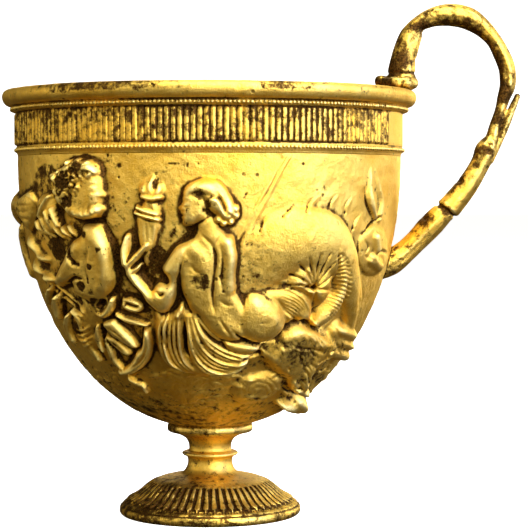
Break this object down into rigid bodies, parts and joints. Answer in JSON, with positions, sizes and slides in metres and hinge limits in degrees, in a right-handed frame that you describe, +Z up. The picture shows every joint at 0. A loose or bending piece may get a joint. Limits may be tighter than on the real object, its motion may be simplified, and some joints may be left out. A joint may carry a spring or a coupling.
{
  "type": "footed cup",
  "caption": "Footed gold drinking cup: deep round bowl with a frieze of sea figures in relief, fluted band, rolled rim, turned foot and a branch-shaped loop handle.",
  "frame": {"origin": "centre of the flat boss under the foot, on the surface the cup stands on", "axes": "+Z up along the cup's axis, +X from the axis to the handle, -Y to the front of the frieze"},
  "size_m": [0.1508, 0.12, 0.1487],
  "materials": {
    "chased_gold": "chased gold sheet, dark in the recesses",
    "turned_gold": "turned and polished gold",
    "cast_gold": "cast gold, worn smooth"
  },
  "bodies": {
    "root": {"bowl": "chased_gold", "foot": "turned_gold", "handle": "cast_gold"}
  },
  "joints": []
}
